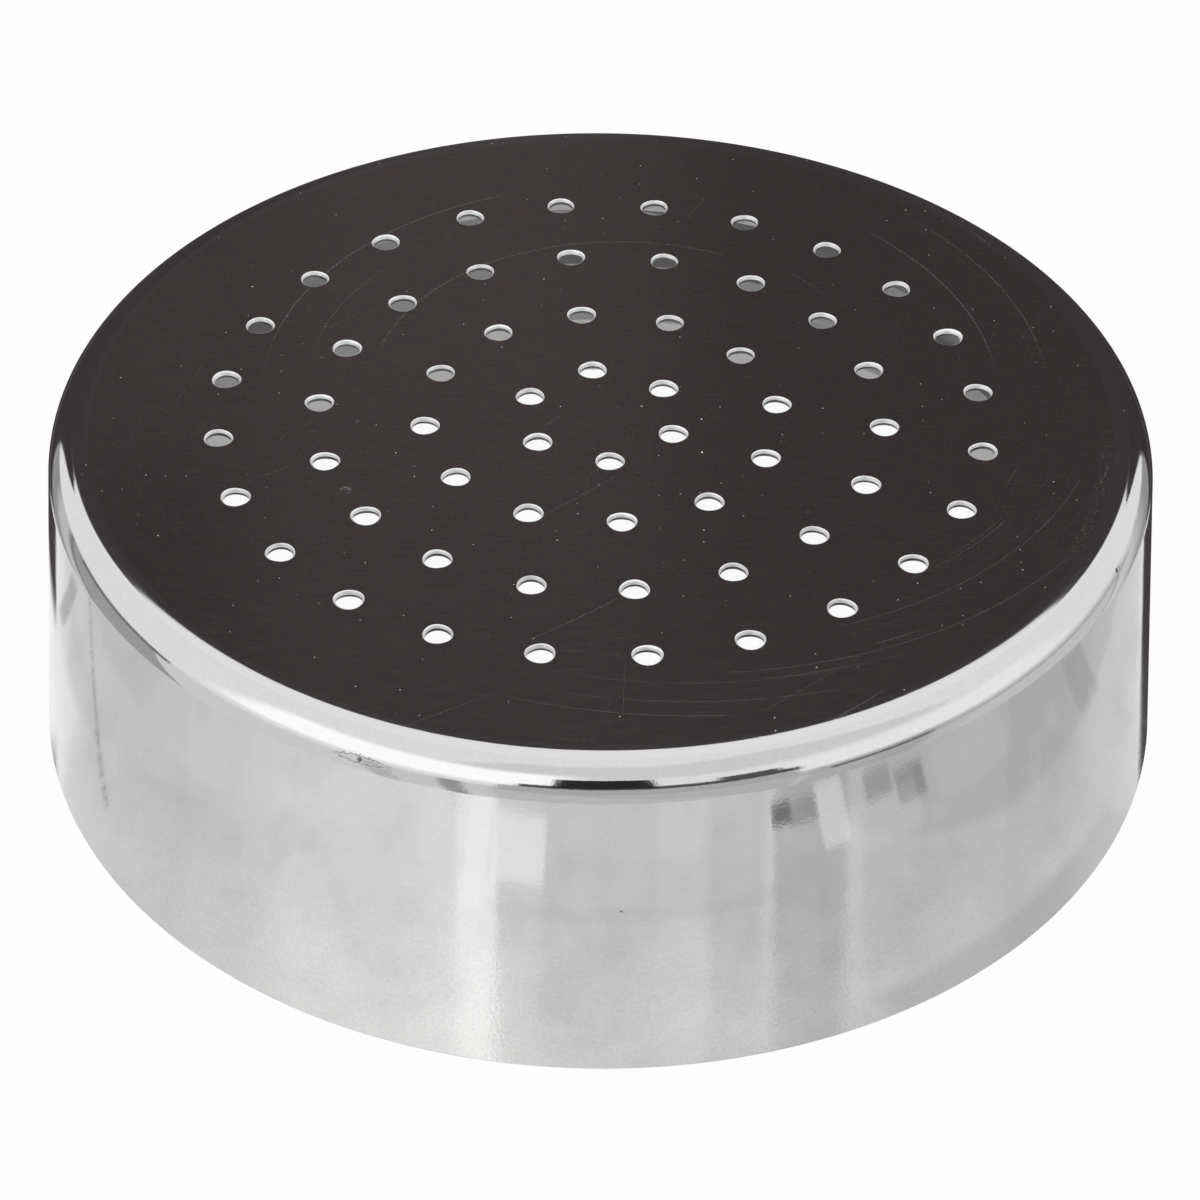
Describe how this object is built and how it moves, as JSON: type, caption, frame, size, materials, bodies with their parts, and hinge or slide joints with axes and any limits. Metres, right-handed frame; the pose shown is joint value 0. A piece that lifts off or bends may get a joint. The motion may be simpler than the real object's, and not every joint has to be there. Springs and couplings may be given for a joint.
{
  "type": "perforated shaker lid",
  "caption": "Round polished steel shaker lid with a flat perforated top, rounded shoulder, slightly flared smooth skirt, and a threaded plastic sleeve and seal inside.",
  "frame": {"origin": "centre of the lid's open lower edge, on the surface that it stands on", "axes": "+Z along the lid's axis, up through the perforated top; +X through a hole of the outermost circle"},
  "size_m": [0.081, 0.081, 0.0245],
  "materials": {
    "polished_steel": "mirror polished drawn sheet, dull inside",
    "sleeve_plastic": "satin moulded polypropylene",
    "seal_silicone": "food-grade silicone, matte"
  },
  "bodies": {
    "root": {"shell": "polished_steel", "threaded_insert": "sleeve_plastic", "seal_ring": "seal_silicone"}
  },
  "joints": []
}
